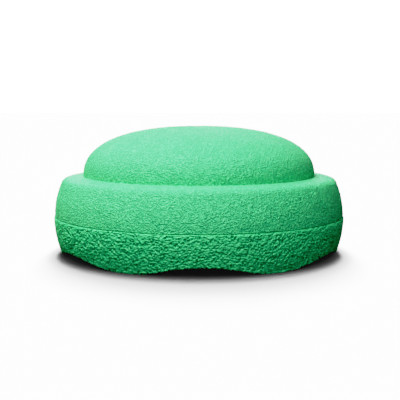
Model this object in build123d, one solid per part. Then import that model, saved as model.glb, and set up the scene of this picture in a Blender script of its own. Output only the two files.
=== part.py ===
from build123d import *

# A round, domed balance stone moulded from bead foam: hollow underneath, so that stones stack on each other.
# Millimetres, +Z up, origin on the floor in the middle of the stone.

import os
from math import atan2, cos, degrees, hypot, radians, sin, sqrt, tan

os.makedirs("parts", exist_ok=True)

# Whole stone
widest_diameter = 275.0
overall_height = 120.0
seam_height = 36.0  # the line where the two pieces meet, at the widest place
shoulder_height = 73.2  # the seat round the dome's foot

# Dome: its outline is a full, flattened curve from its foot to its crown
dome_foot_radius = 110.3
dome_radius_power = 0.84
dome_height_power = 0.84
dome_curve_angles = (0, 9, 20, 35, 52, 70, 90)
crease_radius = 0.8

# Shoulder ring: flat beside the dome, then crowned, then rounded over to the bowed band
shoulder_flat_radius = 114.0
shoulder_crown_radius = 46.0
shoulder_edge_radius = 6.5
band_bow_radius = 78.4
skirt_bow_radius = 92.4

# Hollow underside
mouth_radius = 113.0  # clears the dome of a stone below
hollow_side_radius = 111.5
hollow_side_height = 46.0
crown_thickness = 22.0

# Feet and arches round the lower edge
foot_count = 6
arch_height = 8.4
foot_flattening = 0.25  # what the floor plane takes off the wave's low points, leaving a flat land on each foot
arch_curve_steps = 8
arch_inner_radius = 100.0
arch_outer_radius = 145.0

# Edges
lower_edge_radius = 2.0  # outside, and round the mouth of the hollow
seam_bevel = 0.7

# Tongue on the base ring, in a groove of the upper shell
tongue_radius = 124.6  # middle of the tongue
tongue_foot_width = 9.0
tongue_top_width = 8.2
tongue_height = 7.0
groove_side_gap = 0.2
groove_top_gap = 0.4

even_ends = (1, 1)  # a curve leaves its ends at the pace of its own length

widest_radius = widest_diameter / 2
dome_rise = overall_height - shoulder_height
hollow_height = overall_height - crown_thickness


def bowed_radius(height, bow_radius):
    """Radius of a side that bows out to its widest place at the seam."""
    return widest_radius - bow_radius + sqrt(bow_radius**2 - (height - seam_height) ** 2)


def bow_arc(from_height, to_height, bow_radius):
    """Bowed side between two heights."""
    middle = (from_height + to_height) / 2
    return ThreePointArc(
        (bowed_radius(from_height, bow_radius), from_height),
        (bowed_radius(middle, bow_radius), middle),
        (bowed_radius(to_height, bow_radius), to_height),
    )


def dome_point(angle):
    """Point on the dome's outline, from its foot at 0 degrees to its crown at 90."""
    radius = dome_foot_radius * cos(radians(angle)) ** dome_radius_power
    height = shoulder_height + dome_rise * sin(radians(angle)) ** dome_height_power
    return radius, height


def hollow_radius(height):
    """Radius of the hollow's drafted side."""
    return mouth_radius - (mouth_radius - hollow_side_radius) * height / hollow_side_height


def shoulder_corner():
    """Where the shoulder's crown would meet the bowed band, before that edge is rounded."""
    across = shoulder_flat_radius - (widest_radius - band_bow_radius)
    up = shoulder_height - shoulder_crown_radius - seam_height
    apart = hypot(across, up)
    along = (apart**2 + band_bow_radius**2 - shoulder_crown_radius**2) / (2 * apart)
    aside = sqrt(band_bow_radius**2 - along**2)
    radius = widest_radius - band_bow_radius + (along * across - aside * up) / apart
    height = seam_height + (along * up + aside * across) / apart
    return radius, height


def revolved(outline):
    """Solid of revolution of a closed outline drawn as (radius, height)."""
    return revolve(Plane.XZ * make_face(outline), Axis.Z)


def ring_edges(solid, radius, height):
    """The circular edge of a solid at a radius and height."""
    circles = solid.edges().filter_by(GeomType.CIRCLE)
    return circles.filter_by(lambda e: abs(e.radius - radius) < 0.01 and abs(e.center().Z - height) < 0.01)


def tongue_outline(foot_width, top_width, height):
    """Cross-section of the tongue, or of the groove that takes it."""
    return Polyline(
        (tongue_radius - foot_width / 2, seam_height),
        (tongue_radius + foot_width / 2, seam_height),
        (tongue_radius + top_width / 2, seam_height + height),
        (tongue_radius - top_width / 2, seam_height + height),
        close=True,
    )


def build_upper_shell():
    """Dome, shoulder ring and upper band, hollow below, with a groove in its lower face."""
    corner_radius, corner_height = shoulder_corner()
    crown_sweep = degrees(
        atan2(
            corner_height - shoulder_height + shoulder_crown_radius,
            corner_radius - shoulder_flat_radius,
        )
    )
    side = bow_arc(seam_height + seam_bevel, corner_height, band_bow_radius)
    crown = CenterArc(
        (shoulder_flat_radius, shoulder_height - shoulder_crown_radius),
        shoulder_crown_radius,
        crown_sweep,
        90 - crown_sweep,
    )
    seat = Line((shoulder_flat_radius, shoulder_height), (dome_foot_radius, shoulder_height))
    dome = Spline(
        [dome_point(angle) for angle in dome_curve_angles],
        tangents=((0, 1), (-1, 0)),
        tangent_scalars=even_ends,
    )
    axis = Line((0, overall_height), (0, hollow_height))
    ceiling = EllipticalCenterArc(
        (0, hollow_side_height), hollow_side_radius, hollow_height - hollow_side_height, arc_size=90
    )
    inner_side = Line(
        (hollow_side_radius, hollow_side_height), (hollow_radius(seam_height), seam_height)
    )
    joint_face = Line(inner_side @ 1, ((side @ 0).X - seam_bevel, seam_height))
    bevel = Line(joint_face @ 1, side @ 0)
    shell = revolved([side, crown, seat, dome, axis, ceiling, inner_side, joint_face, bevel])
    shell = fillet(ring_edges(shell, corner_radius, corner_height), shoulder_edge_radius)
    shell = fillet(ring_edges(shell, dome_foot_radius, shoulder_height), crease_radius)
    groove = revolved(
        tongue_outline(
            tongue_foot_width + 2 * groove_side_gap,
            tongue_top_width + 2 * groove_side_gap,
            tongue_height + groove_top_gap,
        )
    )
    return shell - groove


def wave_height(angle):
    """Height of the wavy lower edge at an angle from the middle of an arch."""
    wave = (1 + cos(radians(angle * foot_count))) / 2
    return (arch_height + foot_flattening) * wave - foot_flattening


def arch_section(distance):
    """Outline of one arch on an upright plane at a distance from the middle, closed below the floor."""
    half_angle = 180 / foot_count
    angles = [half_angle * (2 * i / arch_curve_steps - 1) for i in range(arch_curve_steps + 1)]
    points = [(distance * tan(radians(angle)), wave_height(angle)) for angle in angles]
    arch = Spline(points, tangents=((1, 0), (1, 0)), tangent_scalars=even_ends)
    (left, low), (right, _) = points[0], points[-1]
    below = Polyline((right, low), (right, -arch_height), (left, -arch_height), (left, low))
    plane = Plane(origin=(0, -distance, 0), x_dir=(1, 0, 0), z_dir=(0, -1, 0))
    return plane * make_face([arch, below])


def build_base_ring():
    """Skirt below the seam, with a tongue on top and arches cut up into its lower edge."""
    side = bow_arc(0, seam_height - seam_bevel, skirt_bow_radius)
    bevel = Line(side @ 1, ((side @ 1).X - seam_bevel, seam_height))
    joint_face = Line(bevel @ 1, (hollow_radius(seam_height), seam_height))
    inner_side = Line(joint_face @ 1, (mouth_radius, 0))
    bottom = Line((mouth_radius, 0), side @ 0)
    ring = revolved([side, bevel, joint_face, inner_side, bottom])
    arch = loft([arch_section(arch_inner_radius), arch_section(arch_outer_radius)], ruled=True)
    for i in range(foot_count):
        ring -= Rot(0, 0, i * 360 / foot_count) * arch
    low_edges = ring.edges().filter_by(lambda e: e.center().Z < arch_height + 1)
    ring = fillet(low_edges.filter_by(GeomType.LINE, reverse=True), lower_edge_radius)
    tongue = revolved(tongue_outline(tongue_foot_width, tongue_top_width, tongue_height))
    return ring + tongue


for name, piece in (("upper_shell", build_upper_shell()), ("base_ring", build_base_ring())):
    piece.label = name
    export_step(piece, f"parts/{name}.step")
    print(name, len(piece.solids()), "solid", round(piece.volume / 1000), "cm3")
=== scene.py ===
from math import atan2, cos, hypot, pi, radians, sin, sqrt

import bpy
import numpy as np
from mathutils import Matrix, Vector


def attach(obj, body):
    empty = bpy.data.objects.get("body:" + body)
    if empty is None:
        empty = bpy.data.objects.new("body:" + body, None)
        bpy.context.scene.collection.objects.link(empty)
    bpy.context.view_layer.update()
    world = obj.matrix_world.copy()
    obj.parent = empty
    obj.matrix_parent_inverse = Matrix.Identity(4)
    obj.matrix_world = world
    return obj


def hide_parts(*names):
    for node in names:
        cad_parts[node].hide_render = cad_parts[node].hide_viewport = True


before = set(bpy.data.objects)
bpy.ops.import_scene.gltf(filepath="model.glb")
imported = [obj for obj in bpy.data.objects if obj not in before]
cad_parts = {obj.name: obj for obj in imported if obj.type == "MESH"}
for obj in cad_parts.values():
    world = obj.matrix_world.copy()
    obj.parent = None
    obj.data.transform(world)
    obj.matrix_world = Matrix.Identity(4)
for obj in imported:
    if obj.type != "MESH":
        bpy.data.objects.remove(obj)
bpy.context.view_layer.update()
mm = 0.001  # lengths are given in millimetres and turned to metres where a mesh is made
poleHole = 0.4  # left round the axis until the mesh is subdivided, because a pole of so many faces is slow
print("frame loaded:", sorted(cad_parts))


def alongCircle(centre, radius, startAngle, endAngle, count=60):
    # points (radius from the axis, height) on part of a circle
    angles = np.linspace(startAngle, endAngle, count)
    return [(centre[0] + radius * cos(a), centre[1] + radius * sin(a)) for a in angles]


def evenly(line, spacing, holdStart=0.0, holdEnd=0.0):
    # the same line walked in equal steps, with a close loop beside each end that has to stay crisp
    line = np.array(line, float)
    walked = np.concatenate([[0], np.cumsum(np.hypot(*np.diff(line, axis=0).T))])
    length = walked[-1]
    steps = max(1, round((length - holdStart - holdEnd) / spacing))
    stops = list(np.linspace(holdStart, length - holdEnd, steps + 1))
    if holdStart:
        stops = [0] + stops
    if holdEnd:
        stops = stops + [length]
    return [(np.interp(s, walked, line[:, 0]), np.interp(s, walked, line[:, 1])) for s in stops]


def joinLines(*lines):
    # end to end, with each shared point once
    outline = list(lines[0])
    for line in lines[1:]:
        outline += line[1:]
    return outline


def hollowRadius(height, sizes):
    # the hollow's straight side leans in a little towards the top
    lean = (sizes["mouthRadius"] - sizes["hollowSideRadius"]) / sizes["hollowSideHeight"]
    return sizes["mouthRadius"] - lean * height


def drawOutline(name, outline):
    # a plane is merged to a point, and the point is pulled along the outline
    bpy.ops.object.select_all(action="DESELECT")
    bpy.ops.mesh.primitive_plane_add(size=mm, location=(0, 0, 0))
    piece = bpy.context.object
    piece.name = piece.data.name = name
    bpy.ops.object.mode_set(mode="EDIT")
    bpy.ops.mesh.select_all(action="SELECT")
    bpy.ops.mesh.merge(type="CENTER")
    bpy.ops.transform.translate(value=(outline[0][0] * mm, 0, outline[0][1] * mm))
    for here, there in zip(outline, outline[1:]):
        pull = ((there[0] - here[0]) * mm, 0, (there[1] - here[1]) * mm)
        bpy.ops.mesh.extrude_region_move(TRANSFORM_OT_translate={"value": pull})
    return piece


def spinRound(piece, steps):
    bpy.ops.mesh.select_all(action="SELECT")
    bpy.ops.mesh.remove_doubles(threshold=0.001 * mm)  # a closed outline meets its own start
    bpy.ops.mesh.select_all(action="SELECT")
    bpy.ops.mesh.spin(steps=steps, angle=2 * pi, center=(0, 0, 0), axis=(0, 0, 1))
    bpy.ops.mesh.select_all(action="SELECT")
    bpy.ops.mesh.remove_doubles(threshold=0.001 * mm)  # closes the last step
    bpy.ops.mesh.select_all(action="SELECT")
    bpy.ops.mesh.normals_make_consistent(inside=False)
    bpy.ops.object.mode_set(mode="OBJECT")


def closePole(piece, height):
    # the small hole left round the axis at this height is merged to one point
    bpy.ops.object.select_all(action="DESELECT")
    piece.select_set(True)
    bpy.context.view_layer.objects.active = piece
    bpy.ops.object.mode_set(mode="EDIT")
    bpy.ops.mesh.select_all(action="DESELECT")
    bpy.ops.object.mode_set(mode="OBJECT")
    points = places(piece) / mm
    near = (np.hypot(points[:, 0], points[:, 1]) < poleHole * 1.05) & (abs(points[:, 2] - height) < 1)
    piece.data.vertices.foreach_set("select", near)
    bpy.ops.object.mode_set(mode="EDIT")
    bpy.ops.mesh.merge(type="CENTER")
    bpy.ops.object.mode_set(mode="OBJECT")


def applyAll(piece):
    # turns the piece's modifiers into mesh, first to last
    bpy.context.view_layer.objects.active = piece
    for modifier in list(piece.modifiers):
        bpy.ops.object.modifier_apply(modifier=modifier.name)


def subdivide(piece, levels):
    modifier = piece.modifiers.new("rounding", "SUBSURF")
    modifier.levels = modifier.render_levels = levels
    applyAll(piece)


def places(piece):
    # where each vertex is
    flat = np.zeros(len(piece.data.vertices) * 3)
    piece.data.vertices.foreach_get("co", flat)
    return flat.reshape(-1, 3)


def directions(piece):
    # which way each vertex faces
    flat = np.zeros(len(piece.data.vertices) * 3)
    piece.data.vertices.foreach_get("normal", flat)
    return flat.reshape(-1, 3)


def movePlaces(piece, points):
    piece.data.vertices.foreach_set("co", points.ravel())
    piece.data.update()


def weigh(piece, name, weights):
    # vertex group that says how much of a relief each place takes
    group = piece.vertex_groups.new(name=name)
    coarse = np.round(weights, 2)
    for value in np.unique(coarse):
        if value > 0:
            group.add(np.flatnonzero(coarse == value).tolist(), float(value), "REPLACE")


def ramp(value, low, high):
    # 0 below low, 1 above high and smooth between
    t = np.clip((value - low) / (high - low), 0, 1)
    return t * t * (3 - 2 * t)


def relief(piece, name, group, kind, size, depth, middle=0.5, **settings):
    # a texture pushes the skin in and out; a minus depth turns creases into ridges
    texture = bpy.data.textures.new(name, kind)
    texture.noise_scale = size * mm
    for key, value in settings.items():
        setattr(texture, key, value)
    modifier = piece.modifiers.new(name, "DISPLACE")
    modifier.texture = texture
    modifier.texture_coords = "LOCAL"
    modifier.direction = "NORMAL"
    modifier.mid_level = middle
    modifier.strength = depth * mm
    modifier.vertex_group = group


def keepRelief(piece, before, facing):
    # how far each place stands out (+) or in (-), in mm, for the material, which paints shade into the low
    # places and highlight onto the high ones
    height = ((places(piece) - before) * facing).sum(axis=1) / mm
    attribute = piece.data.attributes.new("reliefHeight", "FLOAT", "POINT")
    attribute.data.foreach_set("value", height.astype(np.float32))
    return height


def smooth(piece):
    bpy.ops.object.select_all(action="DESELECT")
    piece.select_set(True)
    bpy.context.view_layer.objects.active = piece
    bpy.ops.object.shade_smooth()


# what both pieces share, in millimetres
stone = {
    "widestRadius": 137.5,
    "seamHeight": 36.0,  # the line at the widest place, where the pieces meet
    "seamBevel": 0.7,
    "mouthRadius": 113.0,  # of the hollow, at the floor
    "hollowSideRadius": 111.5,  # of the hollow, where its straight side ends
    "hollowSideHeight": 46.0,
    "tongueRadius": 124.6,  # to the middle of the tongue and its groove
    "hold": 0.5,  # how close the loops stand that keep an edge crisp
    "bevelHold": 0.4,
    "bevelSpacing": 1.0,
}

# the dome, the shoulder ring and the upper band, hollow below
shell = stone | {
    "overallHeight": 120.0,
    "shoulderHeight": 73.2,
    "domeFootRadius": 110.3,
    "domePower": 0.84,  # 1 would be an ellipse, less is fuller
    "flatRadius": 114.0,  # the shoulder is flat as far as this
    "crownRadius": 46.0,
    "edgeRadius": 6.5,
    "bandBow": 78.4,  # radius of the bowed side
    "hollowHeight": 98.0,
    "grooveFoot": 9.4,
    "grooveTop": 8.6,
    "grooveHeight": 7.4,
    "spinSteps": 288,
    "outerSpacing": 3.0,  # before two rounds of subdivision, so 0.75 in the end
    "seatSpacing": 2.4,
    "edgeSpacing": 1.4,
    "innerSpacing": 9.0,
    "grainSize": 1.25,  # the skin's pebbled grain
    "grainDepth": 0.8,
    "swellSize": 7.0,  # faint unevenness of the whole skin
    "swellDepth": 0.3,
    "seatGrain": 0.55,  # share of the grain on the shoulder's flat, which the mould leaves smoother
    "insideGrain": 0.55,
    "seamGrain": 0.15,  # share of the grain left at the line
    "seamFade": 1.2,
}


def shellOutline(s):
    rise = s["overallHeight"] - s["shoulderHeight"]
    dome = []
    for a in np.linspace(pi / 2, 0, 600):
        radius = s["domeFootRadius"] * max(cos(a), 0) ** s["domePower"]
        dome.append((radius, s["shoulderHeight"] + rise * max(sin(a), 0) ** s["domePower"]))
    dome = [(poleHole, s["overallHeight"])] + [point for point in dome if point[0] > 2 * poleHole]
    seat = [dome[-1], (s["flatRadius"], s["shoulderHeight"])]
    # the edge circle touches the crown circle and the band circle from inside
    crown = (s["flatRadius"], s["shoulderHeight"] - s["crownRadius"])
    band = (s["widestRadius"] - s["bandBow"], s["seamHeight"])
    apart = hypot(crown[0] - band[0], crown[1] - band[1])
    bandReach = s["bandBow"] - s["edgeRadius"]
    crownReach = s["crownRadius"] - s["edgeRadius"]
    along = (apart**2 + bandReach**2 - crownReach**2) / (2 * apart)
    aside = sqrt(bandReach**2 - along**2)
    unit = ((crown[0] - band[0]) / apart, (crown[1] - band[1]) / apart)
    edge = (band[0] + along * unit[0] - aside * unit[1], band[1] + along * unit[1] + aside * unit[0])
    crownEnd = atan2(edge[1] - crown[1], edge[0] - crown[0])
    bandStart = atan2(edge[1] - band[1], edge[0] - band[0])
    bandEnd = atan2(s["seamBevel"], s["bandBow"])
    shoulder = alongCircle(crown, s["crownRadius"], pi / 2, crownEnd)
    rounded = alongCircle(edge, s["edgeRadius"], crownEnd, bandStart)
    side = alongCircle(band, s["bandBow"], bandStart, bandEnd)
    bevel = [side[-1], (side[-1][0] - s["seamBevel"], s["seamHeight"])]
    footHalf, topHalf = s["grooveFoot"] / 2, s["grooveTop"] / 2
    grooveTop = s["seamHeight"] + s["grooveHeight"]
    jointOuter = [bevel[-1], (s["tongueRadius"] + footHalf, s["seamHeight"])]
    grooveOuter = [jointOuter[-1], (s["tongueRadius"] + topHalf, grooveTop)]
    grooveRoof = [grooveOuter[-1], (s["tongueRadius"] - topHalf, grooveTop)]
    grooveInner = [grooveRoof[-1], (s["tongueRadius"] - footHalf, s["seamHeight"])]
    jointInner = [grooveInner[-1], (hollowRadius(s["seamHeight"], s), s["seamHeight"])]
    innerSide = [jointInner[-1], (s["hollowSideRadius"], s["hollowSideHeight"])]
    ceiling = []
    for a in np.linspace(0, pi / 2, 400):
        lift = (s["hollowHeight"] - s["hollowSideHeight"]) * sin(a)
        ceiling.append((s["hollowSideRadius"] * cos(a), s["hollowSideHeight"] + lift))
    ceiling = [point for point in ceiling if point[0] > 2 * poleHole] + [(poleHole, s["hollowHeight"])]
    hold, wide = s["hold"], s["innerSpacing"]
    return joinLines(
        evenly(dome, s["outerSpacing"], 0, hold),
        evenly(seat, s["seatSpacing"], hold, 0),
        evenly(shoulder, s["seatSpacing"]),
        evenly(rounded, s["edgeSpacing"]),
        evenly(side, s["outerSpacing"], 0, s["bevelHold"]),
        evenly(bevel, s["bevelSpacing"]),
        evenly(jointOuter, wide, hold, hold),
        evenly(grooveOuter, wide, hold, hold),
        evenly(grooveRoof, wide, hold, hold),
        evenly(grooveInner, wide, hold, hold),
        evenly(jointInner, wide, hold, hold),
        evenly(innerSide, wide, hold, 0),
        evenly(ceiling, wide),
    )


def makeShell(s):
    piece = drawOutline("upperShellFoam", shellOutline(s))
    spinRound(piece, s["spinSteps"])
    subdivide(piece, 2)
    closePole(piece, s["overallHeight"])
    closePole(piece, s["hollowHeight"])
    before, facing = places(piece), directions(piece)
    radius = np.hypot(before[:, 0], before[:, 1]) / mm
    height = before[:, 2] / mm
    ceilingRise = s["hollowHeight"] - s["hollowSideHeight"]
    ceilingShape = np.sqrt(np.clip(1 - (radius / s["hollowSideRadius"]) ** 2, 0, 1))
    ceilingHeight = s["hollowSideHeight"] + ceilingRise * ceilingShape
    bandInside, seatOutside, belowSeat = 131, 127, 66
    aboveHollow = (height > ceilingHeight + 8) & (radius < seatOutside - 1)
    outside = aboveHollow | (radius > bandInside) | (height > belowSeat)
    grooveRoof = s["seamHeight"] + s["grooveHeight"] + 0.6
    joint = (height < grooveRoof) & (radius < bandInside) & (radius > s["mouthRadius"] + 0.5)
    beyondDome = (radius > s["domeFootRadius"] - 0.3) & (radius < seatOutside)
    onSeat = beyondDome & (height > belowSeat + 3) & (facing[:, 2] > 0.6)
    weights = np.where(outside, 1.0, s["insideGrain"])
    weights = np.where(onSeat, s["seatGrain"], weights)
    weights = np.where(joint, 0.0, weights)  # the two pieces meet there, so it stays true
    fade = ramp(height, s["seamHeight"], s["seamHeight"] + s["seamFade"])
    weights *= s["seamGrain"] + (1 - s["seamGrain"]) * fade
    weigh(piece, "skin", weights)
    relief(piece, "shellSwell", "skin", "CLOUDS", s["swellSize"], s["swellDepth"], noise_depth=1)
    relief(
        piece, "shellGrain", "skin", "CLOUDS", s["grainSize"], s["grainDepth"],
        noise_type="HARD_NOISE", noise_depth=1,
    )
    applyAll(piece)
    found = keepRelief(piece, before, facing)
    smooth(piece)
    print("upper shell:", len(piece.data.polygons), "faces, relief", found.min(), found.max())
    return piece


# the coarse skirt with its six arches, and the tongue on top
ring = stone | {
    "skirtBow": 92.4,  # radius of the bowed side
    "lowerEdge": 2.0,
    "tongueFoot": 9.0,
    "tongueTop": 8.2,
    "tongueHeight": 7.0,
    "footCount": 6,
    "archHeight": 8.4,
    "footFlattening": 0.25,  # what the floor takes off each foot
    "spinSteps": 360,
    "outerSpacing": 2.4,  # 0.6 in the end
    "edgeSpacing": 0.9,
    "bottomSpacing": 4.0,
    "innerSpacing": 8.0,
    "rimHold": 0.3,
    "wrinkleSize": 2.0,  # short raised wrinkles between the beads
    "wrinkleDepth": 2.5,
    "grainSize": 1.15,
    "grainDepth": 1.1,
    "insideGrain": 0.3,  # share of the grain inside and underneath
    "seamGrain": 0.15,  # share of the grain left at the line
    "seamFade": 1.6,
    "floorGrain": 0.2,  # share of the grain left where the feet touch the floor
    "floorFade": 0.7,
}


def ringOutline(s):
    centre = (s["widestRadius"] - s["skirtBow"], s["seamHeight"])
    top = -atan2(s["seamBevel"], s["skirtBow"])
    low = -np.arcsin((s["seamHeight"] - s["lowerEdge"]) / s["skirtBow"])
    side = alongCircle(centre, s["skirtBow"], top, low)
    edge = s["lowerEdge"]
    outerCentre = (side[-1][0] - edge * cos(low), edge)
    outerEdge = alongCircle(outerCentre, edge, low, -pi / 2, 20)
    outerEdge[0] = side[-1]
    innerCentre = (s["mouthRadius"] + edge, edge)
    innerEdge = alongCircle(innerCentre, edge, -pi / 2, -pi, 20)
    bottom = [outerEdge[-1], innerEdge[0]]
    wall = [innerEdge[-1], (hollowRadius(s["seamHeight"], s), s["seamHeight"])]
    footHalf, topHalf = s["tongueFoot"] / 2, s["tongueTop"] / 2
    tongueTop = s["seamHeight"] + s["tongueHeight"]
    jointInner = [wall[-1], (s["tongueRadius"] - footHalf, s["seamHeight"])]
    tongueInner = [jointInner[-1], (s["tongueRadius"] - topHalf, tongueTop)]
    tongueRoof = [tongueInner[-1], (s["tongueRadius"] + topHalf, tongueTop)]
    tongueOuter = [tongueRoof[-1], (s["tongueRadius"] + footHalf, s["seamHeight"])]
    jointOuter = [tongueOuter[-1], (side[0][0] - s["seamBevel"], s["seamHeight"])]
    bevel = [jointOuter[-1], side[0]]
    hold, wide = s["hold"], s["innerSpacing"]
    return joinLines(
        evenly(side, s["outerSpacing"], s["bevelHold"], 0),
        evenly(outerEdge, s["edgeSpacing"]),
        evenly(bottom, s["bottomSpacing"]),
        evenly(innerEdge, s["edgeSpacing"]),
        evenly(wall, wide, 0, hold),
        evenly(jointInner, wide, hold, hold),
        evenly(tongueInner, wide, hold, hold),
        evenly(tongueRoof, wide, hold, hold),
        evenly(tongueOuter, wide, hold, hold),
        evenly(jointOuter, wide, hold, s["rimHold"]),
        evenly(bevel, s["bevelSpacing"]),
    )


def liftArches(piece, s):
    # the lower edge rises and falls between the feet, and each place keeps its share of the wall
    points = places(piece)
    x, y, z = points.T
    angle = np.arctan2(x, -y)
    radius = np.hypot(x, y)
    low = np.clip(z / mm / s["seamHeight"], 0, 1)
    wave = (s["archHeight"] + s["footFlattening"]) * (1 + np.cos(s["footCount"] * angle)) / 2
    wave = np.clip(wave - s["footFlattening"], 0, None)
    lifted = np.where(z / mm < s["seamHeight"], z + wave * mm * (1 - low), z)

    def outer(h):
        bow = s["skirtBow"]
        return s["widestRadius"] - bow + np.sqrt(bow**2 - (h / mm - s["seamHeight"]) ** 2)

    def inner(h):
        return hollowRadius(h / mm, s)

    share = (radius / mm - inner(z)) / (outer(z) - inner(z))
    moved = (inner(lifted) + share * (outer(lifted) - inner(lifted))) * mm
    moved = np.where(z / mm < s["seamHeight"] - 0.01, moved, radius)
    movePlaces(piece, np.column_stack([x * moved / radius, y * moved / radius, lifted]))


def makeRing(s):
    piece = drawOutline("baseRingFoam", ringOutline(s))
    spinRound(piece, s["spinSteps"])
    liftArches(piece, s)
    subdivide(piece, 2)
    before, facing = places(piece), directions(piece)
    radius = np.hypot(before[:, 0], before[:, 1]) / mm
    height = before[:, 2] / mm
    outward = (before[:, 0] * facing[:, 0] + before[:, 1] * facing[:, 1]) / (radius * mm)
    onSide = outward > 0.25
    weights = np.where(onSide, 1.0, s["insideGrain"])
    seamFade = ramp(s["seamHeight"] - height, 0.0, s["seamFade"])
    weights *= s["seamGrain"] + (1 - s["seamGrain"]) * seamFade
    bevelInside = s["widestRadius"] - 2.5
    joint = (height > s["seamHeight"] - 0.2) & (radius < bevelInside)
    weights = np.where(joint, 0.0, weights)  # the two pieces meet there, so it stays true
    floorFade = ramp(height, 0.0, s["floorFade"])
    weights *= s["floorGrain"] + (1 - s["floorGrain"]) * floorFade
    weigh(piece, "skin", weights)
    relief(
        piece, "skirtWrinkles", "skin", "CLOUDS", s["wrinkleSize"], -s["wrinkleDepth"],
        middle=0.3, noise_type="HARD_NOISE", noise_depth=0,
    )
    relief(
        piece, "skirtGrain", "skin", "CLOUDS", s["grainSize"], -s["grainDepth"],
        middle=0.3, noise_type="HARD_NOISE", noise_depth=0,
    )
    applyAll(piece)
    found = keepRelief(piece, before, facing)
    smooth(piece)
    print("base ring:", len(piece.data.polygons), "faces, relief", found.min(), found.max())
    return piece


shellPiece = makeShell(shell)
ringPiece = makeRing(ring)


def linear(hexColour):
    # an sRGB hex colour as Blender's linear one
    value = hexColour.lstrip("#")
    channels = [int(value[i:i + 2], 16) / 255 for i in (0, 2, 4)]
    return [c / 12.92 if c <= 0.04045 else ((c + 0.055) / 1.055) ** 2.4 for c in channels] + [1.0]


def addNode(owner, kind, settings=None, **links):
    # settings are attributes or socket values; a link is named for its socket, or i0, i1 for its number
    tree = owner.node_tree
    node = tree.nodes.new(kind)
    for key, value in (settings or {}).items():
        if isinstance(key, str) and hasattr(node, key):
            setattr(node, key, value)
        else:
            node.inputs[key].default_value = value
    for key, source in links.items():
        name = key.replace("_", " ")
        socket = node.inputs[int(key[1:])] if key[0] == "i" and key[1:].isdigit() else node.inputs[name]
        tree.links.new(source, socket)
    return node


# steam-moulded expanded polypropylene: coloured right through and matt, with only a broad soft shine
foam = {
    "base": "#3CB872",
    "paintedPitShade": "#289862",  # painted shade: deeper and duller, down in the grain where shade falls
    # painted highlight: paler and brighter on the crests, where light falls
    "paintedCrestHighlight": "#50CC82",
    "beadSize": 4.0,  # across one moulded bead
    "beadTint": 0.5,  # how far one bead is lighter or darker than the next
    "roughLow": 0.5,
    "roughHigh": 0.66,
    "shine": 0.36,
    "shineTint": "#F4FFD2",
    "fuzz": 0.04,  # faint pale bloom at glancing angles
    "fuzzSpread": 0.4,
}


def foamMaterial(name, skin):
    # the grain tints the colour with painted highlight on its tops and painted shade in its hollows, pushes the
    # shading about and varies the roughness, and the relief height paints shade into the pits and highlight
    # onto the crests
    material = bpy.data.materials.new(name)
    material.use_nodes = True
    material.node_tree.nodes.clear()
    place = addNode(material, "ShaderNodeTexCoord").outputs["Object"]
    beads = addNode(
        material, "ShaderNodeTexNoise", {"Scale": 1 / (foam["beadSize"] * mm), "Detail": 2.0}, Vector=place
    )
    grain = addNode(
        material, "ShaderNodeTexNoise",
        {"noise_type": skin["noise"], "Scale": 1 / (skin["grainSize"] * mm), "Detail": 1.5,
         "Roughness": 0.6, "Distortion": skin["distortion"]},
        Vector=place,
    )
    height = addNode(material, "ShaderNodeAttribute", {"attribute_name": "reliefHeight"})
    # painted shade and highlight: the deeper a place lies in the relief, the darker its colour, and the higher,
    # the paler
    depth = addNode(
        material, "ShaderNodeMapRange",
        {"From Min": skin["darkestShadeRelief"], "From Max": skin["palestHighlightRelief"]}, Value=height.outputs["Fac"],
    )
    # painted highlight on the grain's raised tops and painted shade in its hollows, from the same noise as the
    # bump
    grainPaintedShade = addNode(
        material, "ShaderNodeMapRange",
        {"From Min": skin["grainLow"], "From Max": skin["grainHigh"], "To Min": -skin["grainShadeTint"],
         "To Max": skin["grainShadeTint"]},
        Value=grain.outputs["Fac"],
    )
    mottled = addNode(
        material, "ShaderNodeMath",
        {"operation": "MULTIPLY_ADD", 1: foam["beadTint"], 2: -foam["beadTint"] / 2},
        i0=beads.outputs["Fac"],
    )
    # the beads' own random tone plus the grain's painted shade and highlight
    beadToneAndGrainShade = addNode(
        material, "ShaderNodeMath", {"operation": "ADD"},
        i0=mottled.outputs["Value"], i1=grainPaintedShade.outputs["Result"],
    )
    # painted shade and highlight from the relief, added to the beads' own tone
    paintedShadeAndTone = addNode(
        material, "ShaderNodeMath", {"operation": "ADD"},
        i0=depth.outputs["Result"], i1=beadToneAndGrainShade.outputs["Value"],
    )
    colour = addNode(material, "ShaderNodeValToRGB", Fac=paintedShadeAndTone.outputs["Value"])
    stops = colour.color_ramp.elements
    stops[0].position, stops[0].color = 0.0, linear(foam["paintedPitShade"])
    stops[1].position, stops[1].color = 1.0, linear(foam["paintedCrestHighlight"])
    middle = stops.new(0.5)
    middle.color = linear(foam["base"])
    bump = addNode(
        material, "ShaderNodeBump", {"Strength": 1.0, "Distance": skin["grainDepth"] * mm},
        Height=grain.outputs["Fac"],
    )
    roughness = addNode(
        material, "ShaderNodeMapRange",
        {"To Min": foam["roughLow"], "To Max": foam["roughHigh"]}, Value=grain.outputs["Fac"],
    )
    surface = addNode(
        material, "ShaderNodeBsdfPrincipled",
        {
            "IOR": 1.49,  # solid polypropylene
            "Specular IOR Level": foam["shine"],
            "Specular Tint": linear(foam["shineTint"]),
            "Sheen Weight": foam["fuzz"],
            "Sheen Roughness": foam["fuzzSpread"],
            "Sheen Tint": linear(foam["shineTint"]),
        },
        Base_Color=colour.outputs["Color"],
        Roughness=roughness.outputs["Result"],
        Normal=bump.outputs["Normal"],
    )
    addNode(material, "ShaderNodeOutputMaterial", Surface=surface.outputs["BSDF"])
    return material


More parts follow.
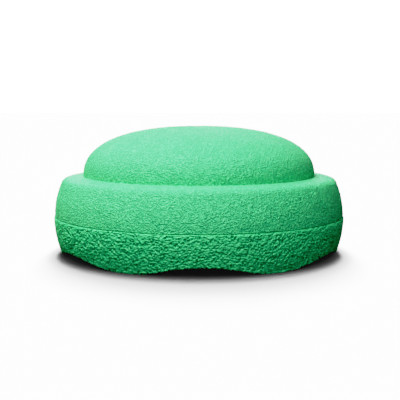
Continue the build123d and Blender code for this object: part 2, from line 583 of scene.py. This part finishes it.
# the smoother mould face leaves a fine, even pebbling; taken as about 0.5 mm across, it is too fine to show,
# so it is drawn at 1.3 mm
fineGrain = {
    "noise": "FBM",
    "grainSize": 1.3,
    "grainDepth": 2.2,
    "distortion": 0.0,
    "grainLow": 0.3,  # where the noise starts and ends, so that the tint uses all of it
    "grainHigh": 0.7,
    # strength of the painted highlight and shade on the grain
    "grainShadeTint": 0.8,
    "darkestShadeRelief": -0.35,  # relief of the deepest pit and the highest crest, where the painted shade is darkest and the painted highlight palest
    "palestHighlightRelief": 0.35,
}
# the rough mould face leaves short raised wrinkles that catch the light, with small hollows between them
coarseGrain = {
    "noise": "RIDGED_MULTIFRACTAL",
    "grainSize": 1.7,
    "grainDepth": 1.1,
    "distortion": 0.5,
    "grainLow": 0.2,
    "grainHigh": 1.2,
    # strength of the painted highlight and shade on the grain
    "grainShadeTint": 0.35,
    "darkestShadeRelief": -1.3,
    "palestHighlightRelief": 0.5,
}
fineSkin = foamMaterial("mouldedPolypropyleneFoamFine", fineGrain)
coarseSkin = foamMaterial("mouldedPolypropyleneFoamCoarse", coarseGrain)
for piece, material, node, slotName in (
    (shellPiece, fineSkin, "upper_shell", "fine_foam"),
    (ringPiece, coarseSkin, "base_ring", "coarse_foam"),
):
    piece.data.materials.clear()
    piece.data.materials.append(material)
    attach(piece, "root")
    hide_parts(node)
print("pieces finished and dressed")

bpy.ops.object.select_all(action="DESELECT")
floorWidth = 30  # metres, so that its far edge is lost in the white behind
bpy.ops.mesh.primitive_plane_add(size=floorWidth, location=(0, 0, 0))
floor = bpy.context.object
floor.name = "studioFloor"
paperGrey = 0.04  # dark paper under strong suns looks pale, and the stone's green doesn't spill onto it
paperGlow = 0.0088  # keeps the gap under the arches from going quite black
paper = bpy.data.materials.new("paleStudioPaper")
paper.use_nodes = True
paperSurface = paper.node_tree.nodes["Principled BSDF"].inputs
paperSurface["Base Color"].default_value = (paperGrey, paperGrey, paperGrey, 1)
paperSurface["Roughness"].default_value = 1.0
paperSurface["Specular IOR Level"].default_value = 0.0
paperSurface["Emission Color"].default_value = (1, 1, 1, 1)
paperSurface["Emission Strength"].default_value = paperGlow
floor.data.materials.append(paper)
floor.visible_diffuse = False  # the stone doesn't pick up grey from the paper
floor.visible_glossy = False

# the stone and the floor each have their own lamps
forObject = bpy.data.collections.new("litObject")
forObject.objects.link(shellPiece)
forObject.objects.link(ringPiece)
forFloor = bpy.data.collections.new("litFloor")
forFloor.objects.link(floor)

# azimuth is degrees round from the front, left is minus; every lamp looks at the stone from the same distance
warmLight = (1.03, 1.0, 0.89)
coolLight = (1.12, 1.0, 1.22)  # the shaded sides look a little bluer
lamps = {
    "keyLamp": {"azimuth": -62, "elevation": 67, "size": 0.25, "watts": 9.9, "tint": warmLight},
    "frontLamp": {"azimuth": -12, "elevation": 52, "size": 0.35, "watts": 6.4, "tint": warmLight},
    "backLamp": {"azimuth": -115, "elevation": 57, "size": 0.22, "watts": 4.1, "tint": warmLight},
    "frontFill": {"azimuth": -6, "elevation": 19, "size": 0.8, "watts": 2.5, "tint": coolLight},
    "rightFill": {"azimuth": 60, "elevation": 16, "size": 0.8, "watts": 0.3, "tint": coolLight},
    "sideFill": {"azimuth": 122, "elevation": 10, "size": 0.8, "watts": 1.2, "tint": coolLight},
    "rearFill": {"azimuth": 180, "elevation": 18, "size": 0.8, "watts": 3.4, "tint": coolLight},
}
lampDistance = 1.3
aimPoint = Vector((0, 0, 0.06))  # the middle of the stone
for name, lamp in lamps.items():
    azimuth, elevation = radians(lamp["azimuth"]), radians(lamp["elevation"])
    away = Vector((sin(azimuth) * cos(elevation), -cos(azimuth) * cos(elevation), sin(elevation)))
    bpy.ops.object.light_add(
        type="AREA", location=aimPoint + away * lampDistance,
        rotation=(-away).to_track_quat("-Z", "Y").to_euler(),
    )
    light = bpy.context.object
    light.name = name
    light.data.size = lamp["size"]
    light.data.energy = lamp["watts"]
    light.data.color = lamp["tint"]
    light.visible_glossy = name != "sideFill"  # it would put a pale rim on the dome
    light.light_linking.receiver_collection = forObject

# soft suns over the floor, in degrees; they lean from behind, so the shadow comes forward
floorSuns = {
    "floorSunLow": {"lean": 45, "spread": 24, "share": 0.55},
    "floorSunMiddle": {"lean": 25, "spread": 20, "share": 0.42},
    "floorSunHigh": {"lean": 10, "spread": 28, "share": 0.16},
    "floorSunFront": {"lean": -25, "spread": 80, "share": 0.03},
}
sunPlace = (0, 0.3, 1.5)  # only for the eye, since a sun shines alike from anywhere
for name, sun in floorSuns.items():
    bpy.ops.object.light_add(type="SUN", location=sunPlace, rotation=(radians(-sun["lean"]), 0, 0))
    light = bpy.context.object
    light.name = name
    light.data.angle = radians(sun["spread"])
    light.data.energy = sun["share"] * pi / paperGrey  # shares adding up to 1 would make the paper just white
    light.light_linking.receiver_collection = forFloor

# white behind for the camera only, so that the stone is lit by its lamps alone
whiteBehind = 1.3
world = bpy.data.worlds.new("studioAir")
bpy.context.scene.world = world
world.use_nodes = True
world.node_tree.nodes.clear()
path = addNode(world, "ShaderNodeLightPath")
dark = addNode(world, "ShaderNodeBackground", {"Color": (1, 1, 1, 1), "Strength": 0.0})
white = addNode(world, "ShaderNodeBackground", {"Color": (1, 1, 1, 1), "Strength": whiteBehind})
pick = addNode(
    world, "ShaderNodeMixShader",
    i0=path.outputs["Is Camera Ray"], i1=dark.outputs["Background"], i2=white.outputs["Background"],
)
addNode(world, "ShaderNodeOutputWorld", Surface=pick.outputs["Shader"])

view = {
    "distance": 794.3,  # level distance from the stone's middle
    "eyeHeight": 140.3,
    "pitch": 6.577,  # degrees downwards
    "turn": -1.3,  # degrees round from the front, left is minus
    "lens": 74.35,
    "sensor": 36,
    "shift": 0.0026,
}
turn = radians(view["turn"])
away = Vector((sin(turn) * view["distance"], -cos(turn) * view["distance"], view["eyeHeight"]))
bpy.ops.object.camera_add(location=away * mm, rotation=(radians(90 - view["pitch"]), 0, turn))
camera = bpy.context.object
camera.name = "studioCamera"
camera.data.lens = view["lens"]
camera.data.sensor_width = view["sensor"]
camera.data.shift_x = view["shift"]
bpy.context.scene.camera = camera

# print-like contrast: lifts the middle, holds the brights below white and deepens the darks
toneCurve = [
    (0.0, 0.0), (0.0032, 0.0007), (0.0079, 0.0028), (0.0157, 0.0229), (0.0315, 0.0808), (0.063, 0.188),
    (0.126, 0.382), (0.236, 0.609), (0.354, 0.724), (0.472, 0.776), (0.63, 0.845), (0.787, 0.915), (1.0, 1.0),
]
tones = bpy.context.scene.view_settings
tones.view_transform = "Standard"
tones.use_curve_mapping = True
combined = tones.curve_mapping.curves[3]  # after red, green and blue
combined.points[0].location = toneCurve[0]
combined.points[-1].location = toneCurve[-1]
for x, y in toneCurve[1:-1]:
    combined.points.new(x, y)
tones.curve_mapping.update()
print("stage set")
